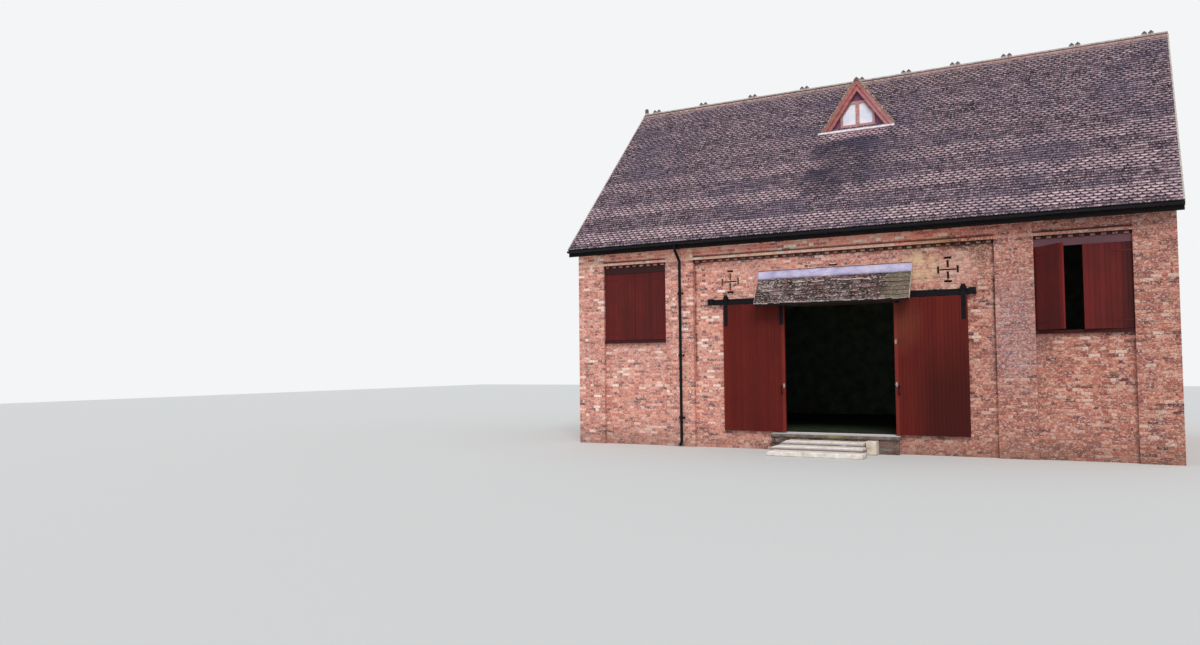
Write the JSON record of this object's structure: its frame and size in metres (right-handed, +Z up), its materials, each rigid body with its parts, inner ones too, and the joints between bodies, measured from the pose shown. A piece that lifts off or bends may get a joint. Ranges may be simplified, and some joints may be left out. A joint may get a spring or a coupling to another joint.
{
  "type": "barn",
  "caption": "Brick barn with a steep tiled roof, a small dormer, a canopied doorway with sliding doors on an overhead track, upper hatches, cross vents and stone steps.",
  "frame": {"origin": "on the ground under the middle of the ridge", "axes": "+Z up, -Y out of the doorway side, +X to the right as seen from the front"},
  "size_m": [15.18, 11.386, 10.9031],
  "materials": {
    "brick": "weathered orange-red brick with lime mortar",
    "roof_tile": "purple-brown clay tiles",
    "ridge_tile": "brown clay ridge tiles",
    "mossy_tile": "grey-brown clay tiles with moss",
    "lead": "weathered sheet lead",
    "black_iron": "black painted iron",
    "dark_timber": "dark stained timber",
    "oak": "old oak",
    "red_door": "dark red painted boards",
    "red_hatch": "dark red painted boards",
    "salmon_paint": "faded red painted timber",
    "dark_board": "dark boards",
    "window_glass": "window glass",
    "floor_concrete": "worn floor",
    "threshold_stone": "grey stone",
    "step_stone": "pale painted stone"
  },
  "bodies": {
    "barn": {"back_downpipe": "black_iron", "back_gutter": "black_iron", "back_roof_slope": "roof_tile", "back_wall": "brick", "canopy_brackets": "dark_timber", "canopy_flashing": "lead", "canopy_roof": "mossy_tile", "door_track_board": "dark_timber", "door_track_rail": "black_iron", "doorway_lintel": "oak", "dormer_apron": "lead", "dormer_bargeboards": "salmon_paint", "dormer_gable_face": "dark_board", "dormer_roof_left": "roof_tile", "dormer_roof_right": "roof_tile", "dormer_window_frame": "salmon_paint", "dormer_window_glass": "window_glass", "eaves_boards": "dark_timber", "floor": "floor_concrete", "front_downpipe": "black_iron", "front_gutter": "black_iron", "front_roof_slope": "roof_tile", "front_wall_left": "brick", "front_wall_over_door": "brick", "front_wall_right": "brick", "left_gable_wall": "brick", "left_hatch_frame": "red_hatch", "left_hatch_left_leaf": "red_hatch", "left_hatch_right_leaf": "red_hatch", "ridge_tiles": "ridge_tile", "right_gable_wall": "brick", "right_hatch_frame": "red_hatch", "right_hatch_left_leaf": "red_hatch", "right_hatch_right_leaf": "red_hatch", "step_bottom": "step_stone", "step_end_block": "step_stone", "step_middle": "step_stone", "step_top": "step_stone", "threshold_plinth": "brick", "threshold_slab": "threshold_stone"},
    "left_door": {"left_door_ironwork": "black_iron", "left_door_leaf": "red_door"},
    "right_door": {"right_door_ironwork": "black_iron", "right_door_leaf": "red_door"}
  },
  "joints": [
    {"name": "left_door_slide", "type": "slide", "parent": "barn", "child": "left_door", "axis": [1, 0, 0], "range_m": [-0.247, 1.25]},
    {"name": "right_door_slide", "type": "slide", "parent": "barn", "child": "right_door", "axis": [-1, 0, 0], "range_m": [0, 1.497]}
  ]
}
